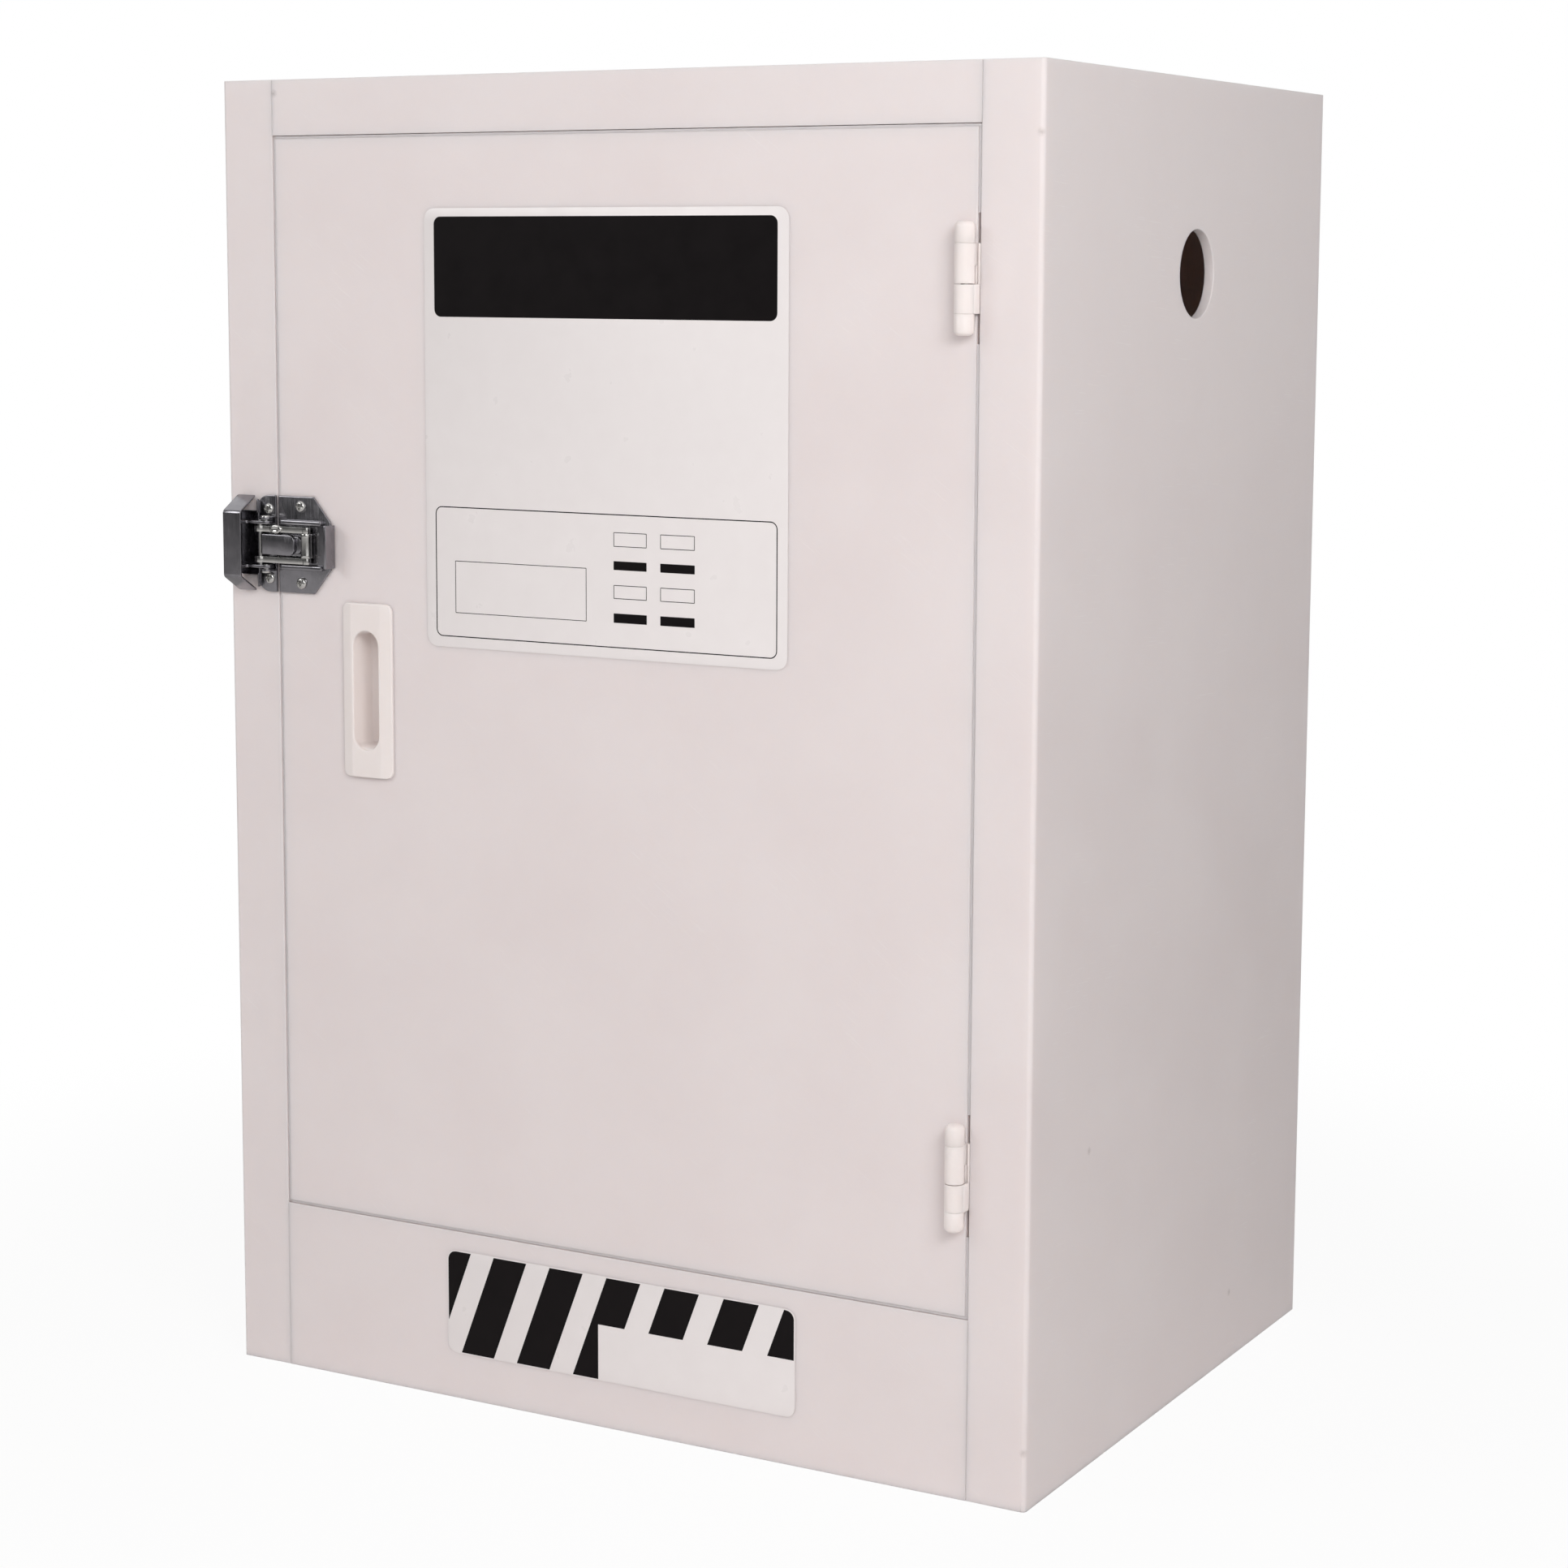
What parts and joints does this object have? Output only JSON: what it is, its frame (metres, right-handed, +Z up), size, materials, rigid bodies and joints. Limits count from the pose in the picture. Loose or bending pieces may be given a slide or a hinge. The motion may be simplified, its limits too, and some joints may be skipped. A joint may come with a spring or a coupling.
{
  "type": "chemical storage cabinet",
  "caption": "Free-standing polypropylene chemical storage cabinet: side-hung door on barrel hinges, draw latch, recessed pull, side vent hole, lipped shelf and spill tray that lift out.",
  "frame": {"origin": "centre of the cabinet's underside", "axes": "+Z up, +Y to the back, the door faces -Y, +X to the hinge side"},
  "size_m": [0.61, 0.4895, 0.89],
  "materials": {
    "pp_sheet": "pinkish-white polypropylene sheet, fine satin calendered surface",
    "pp_inner": "polypropylene sheet, inside faces and stiffeners",
    "pp_moulded": "moulded white polypropylene, slight gloss",
    "zinc_steel": "pressed steel, bright zinc plated",
    "bright_steel": "turned steel, nickel plated",
    "label_film": "white self-adhesive vinyl film",
    "label_ink": "black screen-printed ink"
  },
  "bodies": {
    "cabinet": {"side_panel_left": "pp_sheet", "side_panel_right": "pp_sheet", "top_panel": "pp_sheet", "base_panel": "pp_sheet", "back_panel": "pp_sheet", "top_rail": "pp_sheet", "bottom_rail": "pp_sheet", "door_stop_left": "pp_inner", "door_stop_right": "pp_inner", "door_stop_top": "pp_inner", "spill_dam": "pp_inner", "shelf_ledge_left": "pp_inner", "shelf_ledge_right": "pp_inner", "hinge_upper_frame_leaf": "pp_moulded", "hinge_lower_frame_leaf": "pp_moulded", "hinge_upper_pin": "bright_steel", "hinge_lower_pin": "bright_steel", "hinge_bottom_caps": "pp_moulded", "latch_base_plate": "zinc_steel", "latch_pivot_rivets": "bright_steel", "latch_base_screws": "bright_steel", "stripe_label": "label_film"},
    "door": {"door_outer_sheet": "pp_sheet", "door_bar_left": "pp_inner", "door_bar_right": "pp_inner", "door_bar_top": "pp_inner", "door_bar_bottom": "pp_inner", "door_bar_cross_lower": "pp_inner", "door_bar_cross_upper": "pp_inner", "door_inner_sheet": "pp_inner", "handle_plate": "pp_moulded", "hinge_upper_door_leaf": "pp_moulded", "hinge_lower_door_leaf": "pp_moulded", "hinge_top_caps": "pp_moulded", "latch_keeper": "zinc_steel", "latch_keeper_screws": "bright_steel", "door_label": "label_film"},
    "latch_arm": {"latch_lever": "zinc_steel", "link_pivot_pin": "bright_steel"},
    "latch_hook": {"latch_link": "bright_steel", "link_roller": "bright_steel"},
    "shelf_unit": {"shelf": "pp_inner"},
    "tray_unit": {"sump_tray": "pp_inner"}
  },
  "joints": [
    {"name": "door_hinge", "type": "hinge", "parent": "cabinet", "child": "door", "pos_m": [0.257, -0.2416, 0.485], "axis": [0, 0, 1], "range_deg": [0, 175]},
    {"name": "lever_throw", "type": "hinge", "parent": "cabinet", "child": "latch_arm", "pos_m": [-0.268, -0.243, 0.579], "axis": [0, 0, 1], "range_deg": [0, 90]},
    {"name": "link_pivot", "type": "hinge", "parent": "latch_arm", "child": "latch_hook", "pos_m": [-0.274, -0.2415, 0.579], "axis": [0, 0, 1], "range_deg": [-90, 0]},
    {"name": "shelf_lift", "type": "slide", "parent": "cabinet", "child": "shelf_unit", "axis": [0, 0, 1], "range_m": [0, 0.06]},
    {"name": "tray_lift", "type": "slide", "parent": "cabinet", "child": "tray_unit", "axis": [0, 0, 1], "range_m": [0, 0.13]}
  ],
  "couplings": [
    {"joint": "link_pivot", "follows": "lever_throw", "ratio": -1}
  ]
}
